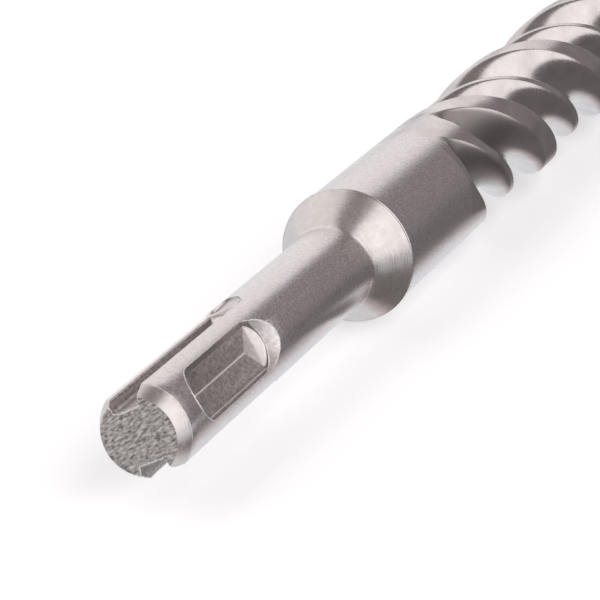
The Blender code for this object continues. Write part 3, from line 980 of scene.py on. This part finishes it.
softbox("left_softbox", inner=(0.75, 0.25, 1.0), outer=(1.046, 2.2, 0.0), length=4.5, power=27.0)
softbox("right_softbox", inner=(-0.35, -0.36, 1.0), outer=(-0.35, -2.2, 0.0), length=2.7, power=22.0)

# The card glows, and the camera, the shadows and the floor's light don't see it, so it is only a
# painted reflection in the polished side of the bit: bright next to the bit, grey further out.
# Each row gives a place along the bit, then how far out the card starts to fade, is fully grey,
# and ends, all in millimetres.
CARD_LEVEL = -7.5 * MM
CARD_PAINTED_BRIGHT_REFLECTION = 0.92
CARD_PAINTED_GREY_REFLECTION = 0.19
CARD_ROWS = (
    (-2.0, -8.0, -14.0, -26.0),
    (12.0, -7.5, -15.0, -28.0),
    (50.0, -7.5, -16.0, -30.0),
    (52.0, -4.0, -6.6, -28.0),
    (56.5, -4.0, -6.6, -27.0),
    (61.0, -9.0, -18.0, -400.0),
    (66.0, -9.4, -14.0, -2900.0),
    (80.0, -9.0, -14.0, -2900.0),
    (90.0, -7.0, -13.0, -2900.0),
    (97.0, -5.0, -7.5, -2900.0),
    (2900.0, -5.0, -7.5, -2900.0),
)
# The grid's columns become the card's rows, and its three lines across the card's fade and end.
card_builder = bmesh.new()
bmesh.ops.create_grid(card_builder, x_segments=len(CARD_ROWS) - 1, y_segments=2, size=1.0)
glow = card_builder.verts.layers.float.new("glow")
for corner in card_builder.verts:
    row = CARD_ROWS[round((corner.co.x + 1.0) / 2.0 * (len(CARD_ROWS) - 1))]
    step = round(1.0 - corner.co.y)
    corner[glow] = CARD_PAINTED_GREY_REFLECTION if step else CARD_PAINTED_BRIGHT_REFLECTION
    corner.co = (row[0] * MM, row[1 + step] * MM, CARD_LEVEL)
# The card's glow, from its bright inner edge to its grey outer part, is the painted reflection.
painted_reflection_glow = new_material(
    "painted_reflection_glow",
    {
        "Base Color": (0.0, 0.0, 0.0, 1.0),
        "Specular IOR Level": 0.0,
        "Emission Color": (1.0, 0.92, 0.93, 1.0),
    },
)
card_tree = painted_reflection_glow.node_tree
card_shader = card_tree.nodes["Principled BSDF"]
card_glow = new_node(card_tree, "ShaderNodeAttribute", attribute_name="glow")
wire(card_tree, (card_glow, "Fac", card_shader, "Emission Strength"))
card = new_piece(card_builder, "painted_reflection_card", painted_reflection_glow)
card.visible_camera = False
card.visible_shadow = False
card.visible_diffuse = False

world = bpy.data.worlds.new("studio")
bpy.context.scene.world = world
world.use_nodes = True
sky = world.node_tree
room_light = sky.nodes["Background"]
room_light.inputs["Color"].default_value = (1.0, 0.90, 0.91, 1.0)
room_light.inputs["Strength"].default_value = 0.265
white_light = new_node(
    sky, "ShaderNodeBackground", {"Color": (1.0, 1.0, 1.0, 1.0), "Strength": 1.0}
)
sky_seen = new_node(sky, "ShaderNodeLightPath")
sky_choice = new_node(sky, "ShaderNodeMixShader")
wire(
    sky,
    (sky_seen, "Is Camera Ray", sky_choice, 0),
    (room_light, 0, sky_choice, 1),
    (white_light, 0, sky_choice, 2),
    (sky_choice, 0, sky.nodes["World Output"], "Surface"),
)

# Camera
# It stands behind the shank end, a little to the right of the bit and above it, with a long
# lens.  Its place and its two directions come from the fit to the outlines of the shank.
CAMERA_PLACE = Vector((-0.237084, -0.113310, 0.113897))
CAMERA_FORWARD = Vector((0.8660254, 0.3520620, -0.3550385))
CAMERA_UP = Vector((0.3288996, 0.1337063, 0.9348517))
camera_data = bpy.data.cameras.new("camera")
camera_data.lens = 176.175
camera_data.sensor_width = 36.0
camera_data.clip_start = 0.01
camera_data.clip_end = 100.0
camera = bpy.data.objects.new("camera", camera_data)
camera_right = CAMERA_FORWARD.cross(CAMERA_UP)
camera_turn = Matrix((camera_right, CAMERA_UP, -CAMERA_FORWARD)).transposed().to_4x4()
camera.matrix_world = Matrix.Translation(CAMERA_PLACE) @ camera_turn
bpy.context.scene.collection.objects.link(camera)
bpy.context.scene.camera = camera
bpy.context.scene.view_settings.view_transform = "Standard"
